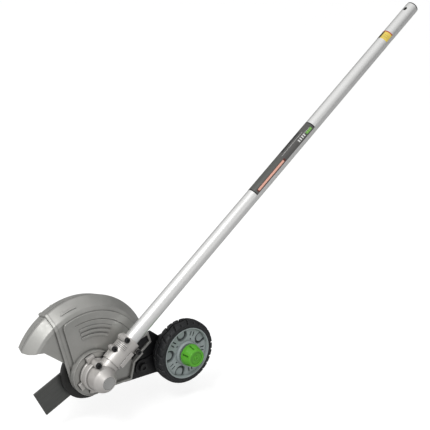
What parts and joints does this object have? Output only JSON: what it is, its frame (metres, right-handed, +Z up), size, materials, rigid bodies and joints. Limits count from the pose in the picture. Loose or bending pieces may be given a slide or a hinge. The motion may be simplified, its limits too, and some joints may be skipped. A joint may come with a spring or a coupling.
{
  "type": "lawn edger attachment",
  "caption": "Stick edger attachment: straight shaft, right-angle gear case, guarded flat blade, and a gauge wheel on a swinging arm clamped by a central knob.",
  "frame": {"origin": "centre of the shaft tube's top end, where the power head's coupler takes it", "axes": "+X back and up along the shaft as seen from above, +Y away from the gear case and wheel side, +Z up; the shaft axis lies in the XZ plane, 37.5 degrees above +X"},
  "size_m": [0.8995, 0.1149, 0.6806],
  "materials": {
    "satin_aluminium": "satin, drawn along the tube",
    "black_nylon": "moulded nylon",
    "dark_label": null,
    "yellow_label": "printed film",
    "machined_steel": "turned and ground",
    "cast_aluminium": "fine-grained die casting, clear painted",
    "black_screws": "black oxide",
    "seal_rubber": "nitrile",
    "guard_casting": "die casting, silver paint",
    "black_plate": "black powder coat",
    "zinc_steel": "zinc plated",
    "black_cup": "black powder coat",
    "blade_steel": "dark painted steel",
    "hub_plastic": "moulded, blue grey",
    "tyre_rubber": "moulded rubber with block tread",
    "green_plastic": "moulded, bright green",
    "brass": "turned"
  },
  "bodies": {
    "frame": {"shaft_tube": "satin_aluminium", "end_bushing": "black_nylon", "shaft_support_bushes": "black_nylon", "shaft_label": "dark_label", "insertion_label": "yellow_label", "pinion_bearings": "machined_steel", "gear_case": "cast_aluminium", "gear_case_plug": "machined_steel", "shaft_clamp_cover": "cast_aluminium", "clamp_screws": "black_screws", "grease_screw": "black_screws", "gear_case_bolts": "black_screws", "main_bearing": "machined_steel", "nose_bearing": "machined_steel", "oil_seal": "seal_rubber", "guard_shell": "guard_casting", "front_guard_extension": "guard_casting", "extension_screws": "machined_steel", "depth_plate": "black_plate", "plate_bolts": "black_screws", "pivot_bolt": "black_screws", "pivot_nut": "black_screws"},
    "drive_line": {"drive_shaft": "machined_steel", "pinion_gear": "machined_steel", "pinion_circlip": "machined_steel"},
    "blade_rotor": {"output_shaft": "machined_steel", "gear_key": "machined_steel", "driven_gear": "machined_steel", "inner_blade_cup": "black_cup", "blade": "blade_steel", "outer_blade_cup": "black_cup", "blade_nut": "black_screws"},
    "wheel_carrier": {"wheel_arm": "black_plate", "axle_bolt": "black_screws", "axle_sleeve": "zinc_steel", "knob_washer": "zinc_steel"},
    "wheel": {"wheel_hub": "hub_plastic", "hub_bushes": "black_nylon", "tyre": "tyre_rubber"},
    "knob": {"depth_knob": "green_plastic", "knob_insert": "brass"}
  },
  "joints": [
    {"name": "blade_spin", "type": "hinge", "parent": "frame", "child": "blade_rotor", "pos_m": [-0.77511, 0, -0.59476], "axis": [0, 1, 0], "continuous": true},
    {"name": "drive_spin", "type": "hinge", "parent": "frame", "child": "drive_line", "pos_m": [-0.77511, 0, -0.59476], "axis": [0.7934, 0, 0.6088], "continuous": true},
    {"name": "depth_swing", "type": "hinge", "parent": "frame", "child": "wheel_carrier", "pos_m": [-0.66711, 0.0304, -0.62276], "axis": [0, -1, 0], "range_deg": [-21.41, 19.29]},
    {"name": "wheel_spin", "type": "hinge", "parent": "wheel_carrier", "child": "wheel", "pos_m": [-0.58671, 0.01275, -0.60756], "axis": [0, 1, 0], "continuous": true},
    {"name": "knob_turn", "type": "hinge", "parent": "wheel_carrier", "child": "knob", "pos_m": [-0.58671, -0.019, -0.60756], "axis": [0, -1, 0], "range_deg": [0, 360]}
  ],
  "couplings": [
    {"joint": "drive_spin", "follows": "blade_spin", "ratio": 1.5}
  ]
}
